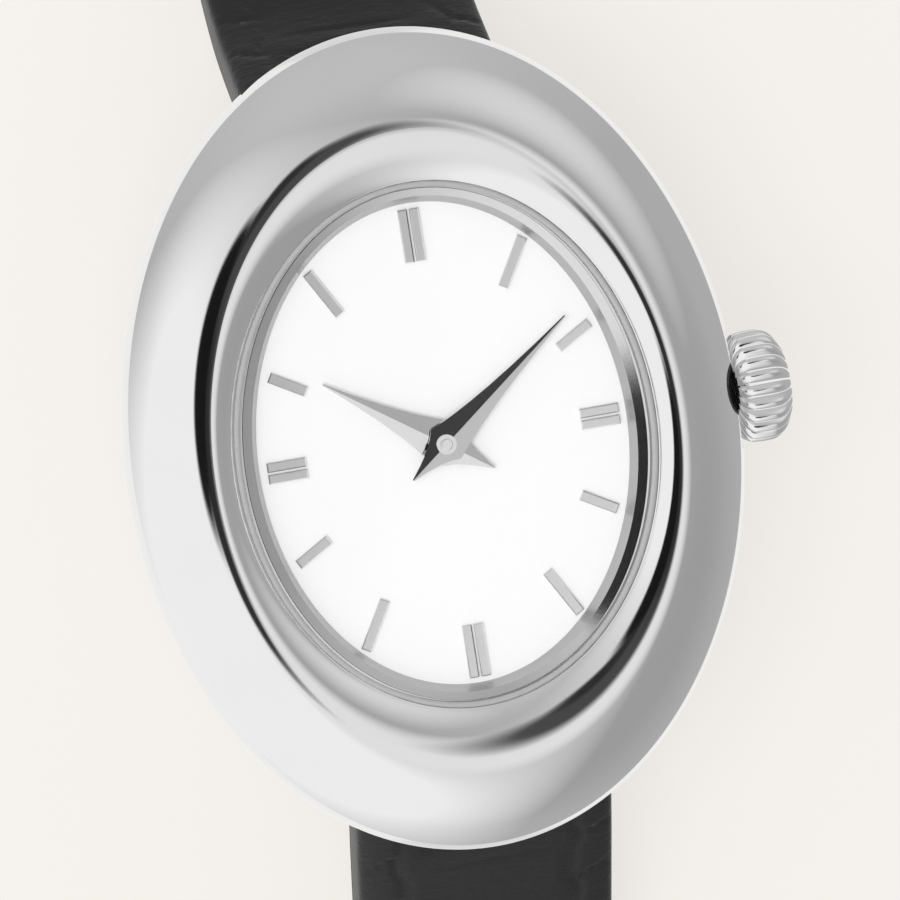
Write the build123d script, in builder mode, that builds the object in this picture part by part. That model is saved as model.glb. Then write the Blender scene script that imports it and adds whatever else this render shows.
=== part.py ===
from build123d import *
from math import cos, sin, radians, pi
import os

# Oval wristwatch on a two-piece leather strap, laid open with its dial up.
# Millimetres. The origin is the middle of the case back's outer face,
# +Z leaves the dial, +Y points to twelve o'clock and +X to the crown.

# Case, measured over the metal
case_length = 36.5
case_width = 27.6
case_stretch = case_length / case_width
widest_z = 2.1
crest_r = 12.15
crest_z = 4.85
underside_r = 11.0
underside_z = 0.55

# Raised bezel that carries the crystal, as half widths in X and half lengths in Y
bezel_top_x = 9.45
bezel_top_y = 11.71
bezel_top_z = 5.75
valley_r = 10.35
valley_z = 3.95
inner_slope = 52.0

# Openings in the case, stepped from the back to the crystal
bore_x = 8.95
bore_y = 11.3
seat_z = 5.15
seat_x = 9.35
seat_y = 11.6
gasket_wall = 0.25
back_x = 9.7
back_y = 11.95
back_thickness = 0.7
back_rim_height = 0.75
back_rim_wall = 0.7

# Dial, rehaut and hour markers
dial_thickness = 0.4
dial_z = 4.4
dial_gap = 0.07
flange_x = 8.24
flange_y = 10.64
marker_ring_x = 7.03
marker_ring_y = 9.22
marker_height = 0.2
long_marker = 2.35
short_marker = 1.75
marker_width = 0.46
pair_width = 0.42
pair_gap = 0.1
marker_edge = 0.05

# Hands, as seen from the front with angles clockwise from twelve
minute_reach = 7.67
minute_tail = 2.14
minute_width = 1.85
minute_angle = 52.3
minute_z = 4.92
hour_reach = 6.04
hour_tail = 2.45
hour_width = 2.2
hour_angle = 305.0
hour_z = 4.62
hand_thickness = 0.2
hand_edge = 0.07
hub_r = 0.44
pin_r = 0.27

# Motion work under the dial, one module throughout
gear_module = 0.11
cannon_teeth = 10
minute_wheel_teeth = 30
minute_pinion_teeth = 8
hour_wheel_teeth = 32
wheel_spacing = gear_module * (cannon_teeth + minute_wheel_teeth) / 2
minute_wheel_bearing = 135.0
running_gap = 0.05
centre_post_r = 0.22
cannon_r = 0.45
hour_pipe_r = 0.74
small_post_r = 0.2

# Movement, between the case back and the dial
plate_x = 7.65
plate_y = 8.9
plate_bottom_z = 2.6
plate_top_z = 4.0
work_pocket_z = 3.25
work_pocket_r = 4.4
spacer_bottom_z = 1.45
battery_r = 3.4
battery_height = 1.6
battery_y = -4.7
battery_bottom_z = 1.0
coil_x = -5.4
coil_r = 0.62
coil_length = 7.0
coil_y = 1.0
coil_z = 1.84

# Winding stem and crown, whose axis runs along X
stem_z = 2.95
stem_r = 0.4
stem_inner_x = 3.3
square_end_x = 5.7
square_side = 0.54
clutch_r = 0.62
tube_r = 0.75
tube_bore_r = 0.5
crown_inner_x = 13.35
crown_outer_x = 15.75
crown_r = 2.5
crown_end_r = 1.75
crown_ribs = 22
crown_seat_gap = 0.15
crown_travel = 0.9
groove_x = 6.3
groove_width = 0.5

# Hidden lugs and spring bars
strap_width = 12.0
bar_y = 14.3
bar_z = 1.15
bar_r = 0.65
bar_tip_r = 0.4
lug_r = 0.85
lug_width = 1.1
side_gap = 0.1

# Strap halves, as centre lines that leave the bar downwards and flatten out
strap_root = 2.5
strap_end = 1.8
lining_thickness = 0.6
tail_width = 10.0
short_length = 66.0
short_angle = 55.0
short_root_run = 5.0
short_bend_r = 12.0
long_length = 98.0
long_angle = 35.0
long_bend_r = 18.0
hole_r = 0.8
hole_pitch = 6.0
hole_count = 7
first_hole_from_tip = 24.0

# Buckle and keepers
buckle_bar_r = 0.6
buckle_inner = 10.6
buckle_arm = 1.3
buckle_reach = 9.6
buckle_front = 1.7
tongue_width = 1.4
tongue_ring_r = 0.9
buckle_thickness = 1.6
keeper_width = 4.0
keeper_wall = 0.65
keeper_gap = 0.12
keeper_room = 2.0
fixed_keeper_from_end = 11.0
loose_keeper_from_end = 22.0

# Heights that follow from the stack
flat_z = bar_z - short_root_run * sin(radians(short_angle)) - short_bend_r * (1 - cos(radians(short_angle)))
strap_floor_z = flat_z - strap_root / 2
long_drop = bar_z - flat_z - long_bend_r * (1 - cos(radians(long_angle)))
long_root_run = long_drop / sin(radians(long_angle))
dial_bottom_z = dial_z - dial_thickness
crystal_x = seat_x - gasket_wall
crystal_y = seat_y - gasket_wall
wheel_x = wheel_spacing * cos(radians(minute_wheel_bearing))
wheel_y = wheel_spacing * sin(radians(minute_wheel_bearing))

os.makedirs("parts", exist_ok=True)


# A plane square to the stem at distance x, with its own x along +Y and y along +Z
def stem_plane(x):
    return Plane(origin=(x, 0, stem_z), x_dir=(0, 1, 0), z_dir=(1, 0, 0))


# One tooth of a wheel, drawn on its root circle and pointing along +X
def tooth_points(teeth):
    pitch_r = gear_module * teeth / 2
    root_r = pitch_r - 1.1 * gear_module
    tip_r = pitch_r + 0.85 * gear_module
    foot = 0.33 * pi * gear_module
    tip = 0.13 * pi * gear_module
    return [(root_r * 0.9, -foot), (tip_r, -tip), (tip_r, tip), (root_r * 0.9, foot)]


def root_radius(teeth):
    return gear_module * teeth / 2 - 1.1 * gear_module


# A point on the ellipse through the middles of the hour markers
def marker_place(hour):
    angle = radians(90 - 30 * hour)
    reach = 1 / ((cos(angle) / marker_ring_x) ** 2 + (sin(angle) / marker_ring_y) ** 2) ** 0.5
    return Location((reach * cos(angle), reach * sin(angle), 0), (0, 0, 90 - 30 * hour))


# Case: a puffed ring stretched along Y, flat inside the valley where the bezel stands
with BuildPart() as case_body:
    with BuildSketch(Plane.XZ):
        with BuildLine():
            Line((6.0, underside_z), (underside_r, underside_z))
            rim_r = case_width / 2
            EllipticalCenterArc(
                (underside_r, widest_z), rim_r - underside_r, widest_z - underside_z, start_angle=-90, arc_size=90
            )
            EllipticalCenterArc((crest_r, widest_z), rim_r - crest_r, crest_z - widest_z, arc_size=90)
            slope_x = (crest_r - valley_r) / sin(radians(inner_slope))
            slope_z = (crest_z - valley_z) / (1 - cos(radians(inner_slope)))
            EllipticalCenterArc(
                (crest_r, crest_z - slope_z), slope_x, slope_z, start_angle=90, arc_size=inner_slope
            )
            Line((valley_r, valley_z), (6.0, valley_z))
            Line((6.0, valley_z), (6.0, underside_z))
        make_face()
    revolve(axis=Axis.Z)
    scale(by=(1, case_stretch, 1))
    # Lug horns that drop from the underside beside each strap end
    for end in (1, -1):
        for side in (1, -1):
            inner_x = strap_width / 2 + side_gap
            lug_plane = Plane.YZ.offset(side * (inner_x + lug_width / 2))
            with BuildSketch(lug_plane):
                with Locations((end * bar_y, bar_z)):
                    Circle(lug_r)
                with Locations((end * bar_y, bar_z + 0.8)):
                    Rectangle(2 * lug_r, 1.6)
            extrude(amount=lug_width / 2, both=True)
    # Bore for the movement and rebate for the back
    with BuildSketch(Plane.XY):
        Ellipse(bore_x, bore_y)
    extrude(amount=10, mode=Mode.SUBTRACT)
    with BuildSketch(Plane.XY):
        Ellipse(back_x + 0.05, back_y + 0.05)
    extrude(amount=back_thickness, mode=Mode.SUBTRACT)
    # Pocket under each end for the strap, open downwards and outwards
    for end in (1, -1):
        with BuildSketch(Plane.YZ):
            Polygon(
                (end * 12.85, -1.0),
                (end * 12.85, 2.6),
                (end * 15.9, 2.6),
                (end * 17.9, 1.6),
                (end * 17.9, -1.0),
                align=None,
            )
        extrude(amount=strap_width / 2 + side_gap, both=True, mode=Mode.SUBTRACT)
        with BuildSketch(Plane.YZ):
            with Locations((end * bar_y, bar_z)):
                Circle(bar_tip_r + 0.02)
        extrude(amount=strap_width / 2 + 0.9, both=True, mode=Mode.SUBTRACT)
    # Crown seat and the hole that holds the crown tube
    with BuildSketch(stem_plane(crown_inner_x - 0.1)):
        Circle(crown_r + crown_seat_gap)
    extrude(amount=3, mode=Mode.SUBTRACT)
    with BuildSketch(stem_plane(bore_x - 1)):
        Circle(tube_r)
    extrude(amount=6, mode=Mode.SUBTRACT)

# Bezel: a flared collar pressed on the case and stepped for the crystal
with BuildPart() as bezel:
    for step in range(4):
        share = step / 3
        with BuildSketch(Plane.XY.offset(bezel_top_z + (valley_z - bezel_top_z) * share)):
            flare = 0.4 * share + 0.6 * share ** 3
            Ellipse(
                bezel_top_x + (valley_r - bezel_top_x) * flare,
                bezel_top_y + (valley_r * case_stretch - bezel_top_y) * flare,
            )
    loft()
    with BuildSketch(Plane.XY):
        Ellipse(bore_x, bore_y)
    extrude(amount=10, mode=Mode.SUBTRACT)
    with BuildSketch(Plane.XY.offset(seat_z)):
        Ellipse(seat_x, seat_y)
    extrude(amount=5, mode=Mode.SUBTRACT)

# Case back: an oval plate with a rim that plugs into the bore
with BuildPart() as case_back:
    with BuildSketch(Plane.XY):
        Ellipse(back_x, back_y)
    extrude(amount=back_thickness)
    with BuildSketch(Plane.XY.offset(back_thickness)):
        Ellipse(bore_x - 0.35, bore_y - 0.35)
        Ellipse(bore_x - 0.35 - back_rim_wall, bore_y - 0.35 - back_rim_wall, mode=Mode.SUBTRACT)
    extrude(amount=back_rim_height)
    chamfer(case_back.faces().sort_by(Axis.Z)[0].edges(), length=0.2)

# Rubber ring squeezed between the back's rim and the bore
with BuildPart() as case_back_gasket:
    with BuildSketch(Plane.XY.offset(back_thickness + 0.02)):
        Ellipse(bore_x - 0.01, bore_y - 0.01)
        Ellipse(bore_x - 0.34, bore_y - 0.34, mode=Mode.SUBTRACT)
    extrude(amount=0.5)

# Crystal: double domed, of even thickness at the edge
with BuildPart() as crystal:
    with BuildSketch(Plane.XZ):
        with BuildLine():
            Line((0, seat_z + 0.45), (0, seat_z + 1.15))
            ThreePointArc((0, seat_z + 1.15), (crystal_x / 2, seat_z + 1.02), (crystal_x, seat_z + 0.62))
            Line((crystal_x, seat_z + 0.62), (crystal_x, seat_z))
            Line((crystal_x, seat_z), (crystal_x - 0.35, seat_z))
            ThreePointArc((crystal_x - 0.35, seat_z), (crystal_x / 2, seat_z + 0.33), (0, seat_z + 0.45))
        make_face()
    revolve(axis=Axis.Z)
    scale(by=(1, crystal_y / crystal_x, 1))

# Ring that grips the crystal's edge
with BuildPart() as crystal_gasket:
    with BuildSketch(Plane.XY.offset(seat_z)):
        Ellipse(seat_x, seat_y)
        Ellipse(crystal_x, crystal_y, mode=Mode.SUBTRACT)
    extrude(amount=bezel_top_z - seat_z - 0.03)

# Sloping rehaut between the dial and the crystal
with BuildPart() as flange_ring:
    with BuildSketch(Plane.XY.offset(dial_z)):
        Ellipse(bore_x - dial_gap, bore_y - dial_gap)
    extrude(amount=seat_z - dial_z)
    with BuildSketch(Plane.XY.offset(dial_z)):
        Ellipse(flange_x, flange_y)
    with BuildSketch(Plane.XY.offset(seat_z)):
        Ellipse(bore_x - 0.15, bore_y - 0.15)
    loft(mode=Mode.SUBTRACT)

# Dial plate with the hole for the hour pipe
with BuildPart() as dial:
    with BuildSketch(Plane.XY.offset(dial_bottom_z)):
        Ellipse(bore_x - dial_gap, bore_y - dial_gap)
        Circle(hour_pipe_r + 0.11, mode=Mode.SUBTRACT)
    extrude(amount=dial_thickness)

# Paired batons at twelve, three, six and nine
with BuildPart() as double_hour_markers:
    for hour, length in ((12, long_marker), (3, short_marker), (6, long_marker), (9, short_marker)):
        with BuildSketch(Plane.XY.offset(dial_z)):
            with Locations(marker_place(hour)):
                with GridLocations(1, pair_width + pair_gap, 1, 2):
                    Rectangle(length, pair_width)
        extrude(amount=marker_height)
    chamfer(double_hour_markers.faces().group_by(Axis.Z)[-1].edges(), length=marker_edge)

# Single batons at the other hours, shorter towards the narrow sides
with BuildPart() as single_hour_markers:
    for hour in (1, 2, 4, 5, 7, 8, 10, 11):
        length = long_marker if hour in (1, 5, 7, 11) else short_marker
        with BuildSketch(Plane.XY.offset(dial_z)):
            with Locations(marker_place(hour)):
                Rectangle(length, marker_width)
        extrude(amount=marker_height)
    chamfer(single_hour_markers.faces().group_by(Axis.Z)[-1].edges(), length=marker_edge)


# Kite outline with hollow edges, its tip on +X
def hand_outline(reach, tail, width):
    Bezier((reach, 0.04), (reach * 0.3, width * 0.16), (0, width / 2))
    Bezier((0, width / 2), (-tail * 0.3, width * 0.2), (-tail, 0.04))
    Line((-tail, 0.04), (-tail, -0.04))
    Bezier((-tail, -0.04), (-tail * 0.3, -width * 0.2), (0, -width / 2))
    Bezier((0, -width / 2), (reach * 0.3, -width * 0.16), (reach, -0.04))
    Line((reach, -0.04), (reach, 0.04))


# Section of a hand across its length: a flat back and two facets that meet on a ridge
def hand_ridge(width):
    half = width / 2
    Polygon((-half, 0), (half, 0), (half, hand_edge), (0, hand_thickness), (-half, hand_edge), align=None)


# Minute hand, with the boss and pin end that show in its middle
with BuildPart() as minute_hand:
    minute_plane = Plane.XY.offset(minute_z).rotated((0, 0, 90 - minute_angle))
    with BuildSketch(minute_plane):
        with BuildLine():
            hand_outline(minute_reach, minute_tail, minute_width)
        make_face()
    extrude(amount=hand_thickness)
    across_minute = Plane(origin=(0, 0, minute_z), x_dir=minute_plane.y_dir, z_dir=minute_plane.x_dir)
    with BuildSketch(across_minute):
        hand_ridge(minute_width)
    extrude(amount=10, both=True, mode=Mode.INTERSECT)
    with BuildSketch(Plane.XY.offset(minute_z)):
        Circle(hub_r)
    extrude(amount=hand_thickness + 0.06)
    with BuildSketch(Plane.XY.offset(minute_z)):
        Circle(pin_r)
    extrude(amount=hand_thickness + 0.14)
    fillet(minute_hand.edges().filter_by(GeomType.CIRCLE).sort_by(Axis.Z)[-1], radius=0.05)

# Hour hand, pressed on the hour pipe
with BuildPart() as hour_hand:
    hour_plane = Plane.XY.offset(hour_z).rotated((0, 0, 90 - hour_angle))
    with BuildSketch(hour_plane):
        with BuildLine():
            hand_outline(hour_reach, hour_tail, hour_width)
        make_face()
    extrude(amount=hand_thickness)
    across_hour = Plane(origin=(0, 0, hour_z), x_dir=hour_plane.y_dir, z_dir=hour_plane.x_dir)
    with BuildSketch(across_hour):
        hand_ridge(hour_width)
    extrude(amount=10, both=True, mode=Mode.INTERSECT)
    with BuildSketch(Plane.XY.offset(hour_z - 0.04)):
        Circle(hour_pipe_r + 0.2)
    extrude(amount=hand_thickness)
    with BuildSketch(Plane.XY.offset(hour_z - 1)):
        Circle(hour_pipe_r)
    extrude(amount=2, mode=Mode.SUBTRACT)

# Cannon pinion: a tube that turns on the centre post and carries the minute hand
with BuildPart() as cannon_pinion:
    with BuildSketch(Plane.XY.offset(work_pocket_z + 0.06)):
        Circle(root_radius(cannon_teeth))
        with PolarLocations(0, cannon_teeth, start_angle=minute_wheel_bearing):
            Polygon(*tooth_points(cannon_teeth), align=None)
    extrude(amount=0.3)
    with BuildSketch(Plane.XY.offset(work_pocket_z + 0.06)):
        Circle(cannon_r)
    extrude(amount=minute_z - work_pocket_z - 0.06)
    with BuildSketch(Plane.XY.offset(work_pocket_z)):
        Circle(centre_post_r + running_gap)
    extrude(amount=1.3, mode=Mode.SUBTRACT)

# Minute wheel with its pinion, beside the cannon pinion
with BuildPart() as minute_wheel:
    with BuildSketch(Plane.XY.offset(work_pocket_z + 0.08)):
        with Locations((wheel_x, wheel_y)):
            Circle(root_radius(minute_wheel_teeth))
            half_pitch = 180 / minute_wheel_teeth
            with PolarLocations(0, minute_wheel_teeth, start_angle=minute_wheel_bearing + 180 + half_pitch):
                Polygon(*tooth_points(minute_wheel_teeth), align=None)
    extrude(amount=0.2)
    with BuildSketch(Plane.XY.offset(work_pocket_z + 0.28)):
        with Locations((wheel_x, wheel_y)):
            Circle(root_radius(minute_pinion_teeth))
            with PolarLocations(0, minute_pinion_teeth, start_angle=minute_wheel_bearing + 180):
                Polygon(*tooth_points(minute_pinion_teeth), align=None)
    extrude(amount=0.36)
    with BuildSketch(Plane.XY.offset(work_pocket_z)):
        with Locations((wheel_x, wheel_y)):
            Circle(small_post_r + running_gap)
    extrude(amount=1, mode=Mode.SUBTRACT)

# Hour wheel, whose pipe runs over the cannon pinion and through the dial
with BuildPart() as hour_wheel:
    with BuildSketch(Plane.XY.offset(work_pocket_z + 0.42)):
        Circle(root_radius(hour_wheel_teeth))
        half_pitch = 180 / hour_wheel_teeth
        with PolarLocations(0, hour_wheel_teeth, start_angle=minute_wheel_bearing + half_pitch):
            Polygon(*tooth_points(hour_wheel_teeth), align=None)
    extrude(amount=0.2)
    with BuildSketch(Plane.XY.offset(work_pocket_z + 0.42)):
        Circle(hour_pipe_r)
    extrude(amount=hour_z + 0.16 - work_pocket_z - 0.42)
    with BuildSketch(Plane.XY.offset(work_pocket_z)):
        Circle(cannon_r + running_gap)
    extrude(amount=2, mode=Mode.SUBTRACT)

# Main plate, pocketed for the motion work and channelled for the stem
bridge_screws = [(-3.2, 5.6), (2.6, 5.6), (-3.2, 0.6)]
with BuildPart() as main_plate:
    with BuildSketch(Plane.XY.offset(plate_bottom_z)):
        Ellipse(plate_x, plate_y)
    extrude(amount=plate_top_z - plate_bottom_z)
    with BuildSketch(Plane.XY.offset(work_pocket_z)):
        Circle(work_pocket_r)
    extrude(amount=2, mode=Mode.SUBTRACT)
    with BuildSketch(Plane.XY.offset(work_pocket_z - 0.1)):
        Circle(centre_post_r)
        with Locations((wheel_x, wheel_y)):
            Circle(small_post_r)
    extrude(amount=0.68)
    with BuildSketch(Plane.XY.offset(work_pocket_z)):
        Circle(centre_post_r)
    extrude(amount=1.1)
    with BuildSketch(Plane.XY):
        with Locations(((stem_inner_x + square_end_x) / 2, 0)):
            Rectangle(square_end_x - stem_inner_x + 0.5, 2 * clutch_r + 0.3)
        with Locations(((square_end_x + plate_x) / 2 + 0.2, 0)):
            Rectangle(plate_x - square_end_x + 0.6, 2 * stem_r + 0.2)
    extrude(amount=plate_top_z - 0.2, mode=Mode.SUBTRACT)
    with BuildSketch(Plane.XY):
        with Locations((6.35, 2.0)):
            Rectangle(2.3, 3.6)
    extrude(amount=stem_z + 0.35, mode=Mode.SUBTRACT)
    with BuildSketch(Plane.XY):
        with Locations(bridge_screws):
            Circle(0.27)
    extrude(amount=plate_bottom_z + 0.45, mode=Mode.SUBTRACT)

# Train bridge: the closed housing of the stepping train, screwed under the plate
with BuildPart() as train_bridge:
    with BuildSketch(Plane.XY.offset(1.5)):
        with Locations((-0.3, 3.1)):
            RectangleRounded(7.2, 6.2, 1.0)
    extrude(amount=plate_bottom_z - 1.5)
    fillet(train_bridge.faces().sort_by(Axis.Z)[0].edges(), radius=0.15)
    with BuildSketch(Plane.XY.offset(1.5)):
        with Locations(bridge_screws):
            Circle(0.55)
    extrude(amount=0.3, mode=Mode.SUBTRACT)
    with BuildSketch(Plane.XY):
        with Locations(bridge_screws):
            Circle(0.3)
    extrude(amount=4, mode=Mode.SUBTRACT)

# Three screws that hold the bridge, with slotted heads
with BuildPart() as bridge_screw_set:
    with BuildSketch(Plane.XY.offset(1.52)):
        with Locations(bridge_screws):
            Circle(0.5)
    extrude(amount=0.28)
    with BuildSketch(Plane.XY.offset(1.52)):
        with Locations(bridge_screws):
            Circle(0.27)
    extrude(amount=plate_bottom_z + 0.4 - 1.52)
    with BuildSketch(Plane.XY.offset(1.52)):
        with Locations(bridge_screws):
            Rectangle(1.1, 0.14)
    extrude(amount=0.12, mode=Mode.SUBTRACT)

# Coil of the stepping motor, wound on a flat core
with BuildPart() as coil:
    coil_plane = Plane(origin=(coil_x, coil_y, coil_z), x_dir=(1, 0, 0), z_dir=(0, 1, 0))
    with BuildSketch(coil_plane):
        Circle(coil_r)
    extrude(amount=coil_length / 2, both=True)
    for end in (1, -1):
        with BuildSketch(coil_plane.offset(end * coil_length / 2)):
            Circle(coil_r + 0.12)
        extrude(amount=0.12, both=True)
    with BuildSketch(Plane.XY.offset(1.95)):
        with Locations((coil_x, coil_y)):
            Rectangle(0.9, coil_length + 1.8)
    extrude(amount=0.3)

# Stator plate, from both ends of the core to the side of the train bridge
with BuildPart() as stator:
    with BuildSketch(Plane.XY.offset(2.25)):
        with Locations((coil_x + 0.5, coil_y + coil_length / 2 + 0.75), (coil_x + 0.5, coil_y - coil_length / 2 - 0.75)):
            Rectangle(1.9, 0.9)
        with Locations((coil_x + 1.15, coil_y)):
            Rectangle(0.6, coil_length + 2.4)
    extrude(amount=plate_bottom_z - 2.25)

# Circuit board beside the battery, with the chip that times the steps
with BuildPart() as circuit_board:
    with BuildSketch(Plane.XY.offset(plate_bottom_z - 0.35)):
        with Locations((5.4, -2.45)):
            RectangleRounded(2.0, 3.0, 0.3)
    extrude(amount=0.35)
    with BuildSketch(Plane.XY.offset(plate_bottom_z - 0.75)):
        with Locations((5.4, -2.7)):
            Rectangle(1.1, 1.1)
    extrude(amount=0.4)

# Button cell, with the stepped edge of its smaller pole
with BuildPart() as battery:
    with BuildSketch(Plane.XY.offset(battery_bottom_z)):
        with Locations((0, battery_y)):
            Circle(battery_r)
    extrude(amount=battery_height - 0.25)
    with BuildSketch(Plane.XY.offset(battery_bottom_z + battery_height - 0.25)):
        with Locations((0, battery_y)):
            Circle(battery_r - 0.4)
    extrude(amount=0.25)
    bottom_edge = battery.faces().sort_by(Axis.Z)[0].edges()
    fillet(bottom_edge, radius=0.15)

# Sprung strip across the cell
with BuildPart() as battery_clamp:
    with BuildSketch(Plane.XY.offset(battery_bottom_z - 0.14)):
        with Locations((0, battery_y)):
            RectangleRounded(9.0, 1.4, 0.4)
    extrude(amount=0.14)
    with BuildSketch(Plane.XY.offset(battery_bottom_z - 0.14)):
        with Locations((4.2, battery_y), (-4.2, battery_y)):
            Rectangle(0.5, 1.2)
    extrude(amount=plate_bottom_z - battery_bottom_z + 0.14)

# Plastic ring that centres the movement in the case
with BuildPart() as movement_ring:
    with BuildSketch(Plane.XY.offset(spacer_bottom_z)):
        Ellipse(bore_x - dial_gap, bore_y - dial_gap)
        Ellipse(plate_x + 0.05, plate_y + 0.05, mode=Mode.SUBTRACT)
    extrude(amount=plate_top_z - spacer_bottom_z)
    with BuildSketch(stem_plane(plate_x - 1)):
        Circle(tube_r)
    extrude(amount=3, mode=Mode.SUBTRACT)

# Sliding pinion: turned by the stem's square, free to let it slide through
with BuildPart() as sliding_pinion:
    with BuildSketch(stem_plane(stem_inner_x + 0.4)):
        Circle(clutch_r - 0.12)
        with PolarLocations(0, 12):
            Polygon((0.3, -0.11), (clutch_r, -0.05), (clutch_r, 0.05), (0.3, 0.11), align=None)
    extrude(amount=0.6)
    with BuildSketch(stem_plane(stem_inner_x + 1.0)):
        Circle(clutch_r - 0.16)
    extrude(amount=0.7)
    with BuildSketch(stem_plane(stem_inner_x)):
        Rectangle(square_side + 2 * running_gap, square_side + 2 * running_gap)
    extrude(amount=3, mode=Mode.SUBTRACT)

# Stem: square inner end, round neck with the lever's groove, long shank to the crown
with BuildPart() as stem:
    with BuildSketch(stem_plane(stem_inner_x)):
        Rectangle(square_side, square_side)
    extrude(amount=square_end_x - stem_inner_x)
    with BuildSketch(stem_plane(square_end_x)):
        Circle(stem_r)
    extrude(amount=crown_inner_x + 1.3 - square_end_x)
    with BuildSketch(stem_plane(groove_x)):
        Circle(stem_r + 0.1)
        Circle(stem_r - 0.17, mode=Mode.SUBTRACT)
    extrude(amount=groove_width / 2, both=True, mode=Mode.SUBTRACT)

# Setting lever: swings as the stem is pulled, its nose in the stem's groove
lever_pivot_x = 6.55
lever_pivot_y = 2.6
with BuildPart() as setting_lever:
    with BuildSketch(Plane.XY.offset(stem_z - 0.14)):
        with BuildLine():
            Polyline(
                (lever_pivot_x - 0.42, lever_pivot_y + 0.42),
                (lever_pivot_x - 0.42, lever_pivot_y - 0.5),
                (groove_x - 0.13, 1.1),
                (groove_x - 0.13, stem_r - 0.12),
                (groove_x + 0.13, stem_r - 0.12),
                (groove_x + 0.13, 1.1),
                (lever_pivot_x + 0.42, lever_pivot_y - 0.5),
                (lever_pivot_x + 0.42, lever_pivot_y + 0.42),
                (lever_pivot_x - 0.42, lever_pivot_y + 0.42),
            )
        make_face()
        with Locations((lever_pivot_x, lever_pivot_y)):
            Circle(0.2, mode=Mode.SUBTRACT)
    extrude(amount=0.28)

# Post that the setting lever swings on
with BuildPart() as lever_post:
    with BuildSketch(Plane.XY.offset(stem_z - 0.5)):
        with Locations((lever_pivot_x, lever_pivot_y)):
            Circle(0.16)
    extrude(amount=0.85)

# Crown: a ribbed barrel with rounded ends and a hollow for the tube
with BuildPart() as crown:
    with BuildSketch(Plane.XZ):
        middle_x = (crown_inner_x + crown_outer_x) / 2
        with BuildLine():
            Line((crown_inner_x, stem_z), (crown_inner_x, stem_z + crown_r - 0.35))
            Spline(
                (crown_inner_x, stem_z + crown_r - 0.35),
                (middle_x - 0.1, stem_z + crown_r),
                (crown_outer_x - 0.25, stem_z + crown_end_r),
                (crown_outer_x, stem_z),
                tangents=((0.5, 1), (0, -1)),
            )
            Line((crown_outer_x, stem_z), (crown_inner_x, stem_z))
        make_face()
    revolve(axis=Axis((0, 0, stem_z), (1, 0, 0)))
    with BuildSketch(stem_plane(crown_inner_x)):
        with PolarLocations(crown_r + 0.1, crown_ribs):
            Circle(0.27)
    extrude(amount=crown_outer_x - crown_inner_x, mode=Mode.SUBTRACT)
    with BuildSketch(stem_plane(crown_inner_x)):
        Circle(1.2)
    extrude(amount=1.3, mode=Mode.SUBTRACT)

# Tube pressed into the case, which the crown runs over
with BuildPart() as crown_tube:
    with BuildSketch(stem_plane(plate_x + 0.1)):
        Circle(tube_r)
        Circle(tube_bore_r, mode=Mode.SUBTRACT)
    extrude(amount=crown_inner_x + 1.15 - plate_x - 0.1)

# Rubber ring inside the crown, rubbing on the tube
with BuildPart() as crown_gasket:
    with BuildSketch(stem_plane(crown_inner_x + 0.15)):
        Circle(1.19)
        Circle(tube_r + 0.03, mode=Mode.SUBTRACT)
    extrude(amount=0.45)

# Spring bars between the lugs, each with thinner sprung tips
strap_bars = []
for end in (1, -1):
    with BuildPart() as bar:
        with BuildSketch(Plane.YZ):
            with Locations((end * bar_y, bar_z)):
                Circle(bar_r)
        extrude(amount=strap_width / 2, both=True)
        with BuildSketch(Plane.YZ):
            with Locations((end * bar_y, bar_z)):
                Circle(bar_tip_r)
        extrude(amount=strap_width / 2 + 0.8, both=True)
    strap_bars.append(bar)
spring_bar_top, spring_bar_bottom = strap_bars


# Where the flat run of a strap half starts, and where the half ends, as distances from the middle
def strap_places(angle, root_run, bend_r, length):
    bend_y = bar_y + root_run * cos(radians(angle))
    flat_y = bend_y + bend_r * sin(radians(angle))
    end_y = flat_y + length - root_run - bend_r * radians(angle)
    return bend_y, flat_y, end_y


# Side outline of a strap layer between two offsets from the centre line, top and bottom
def strap_side(end, angle, root_run, bend_r, length, top, bottom, top_thinning):
    bend_y, flat_y, end_y = strap_places(angle, root_run, bend_r, length)
    lean = radians(angle)

    def at(run, lift):
        y = bar_y + run * cos(lean) + lift * sin(lean)
        z = bar_z - run * sin(lean) + lift * cos(lean)
        return (end * y, z)

    def mid_bend(lift):
        turn = lean / 2
        radius = bend_r - lift
        return (end * (flat_y - radius * sin(turn)), flat_z + bend_r - radius * cos(turn))

    Line(at(0, top), at(root_run, top))
    ThreePointArc(at(root_run, top), mid_bend(top), (end * flat_y, flat_z + top))
    Line((end * flat_y, flat_z + top), (end * end_y, flat_z + top - top_thinning))
    Line((end * end_y, flat_z + top - top_thinning), (end * end_y, flat_z + bottom))
    Line((end * end_y, flat_z + bottom), (end * flat_y, flat_z + bottom))
    ThreePointArc((end * flat_y, flat_z + bottom), mid_bend(bottom), at(root_run, bottom))
    Line(at(root_run, bottom), at(0, bottom))
    return at


short_places = strap_places(short_angle, short_root_run, short_bend_r, short_length)
long_places = strap_places(long_angle, long_root_run, long_bend_r, long_length)
short_end_y = short_places[2]
long_end_y = long_places[2]
lining_top = -strap_root / 2 + lining_thickness
thinning = strap_root - strap_end
buckle_bar_z = strap_floor_z + 0.95


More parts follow.
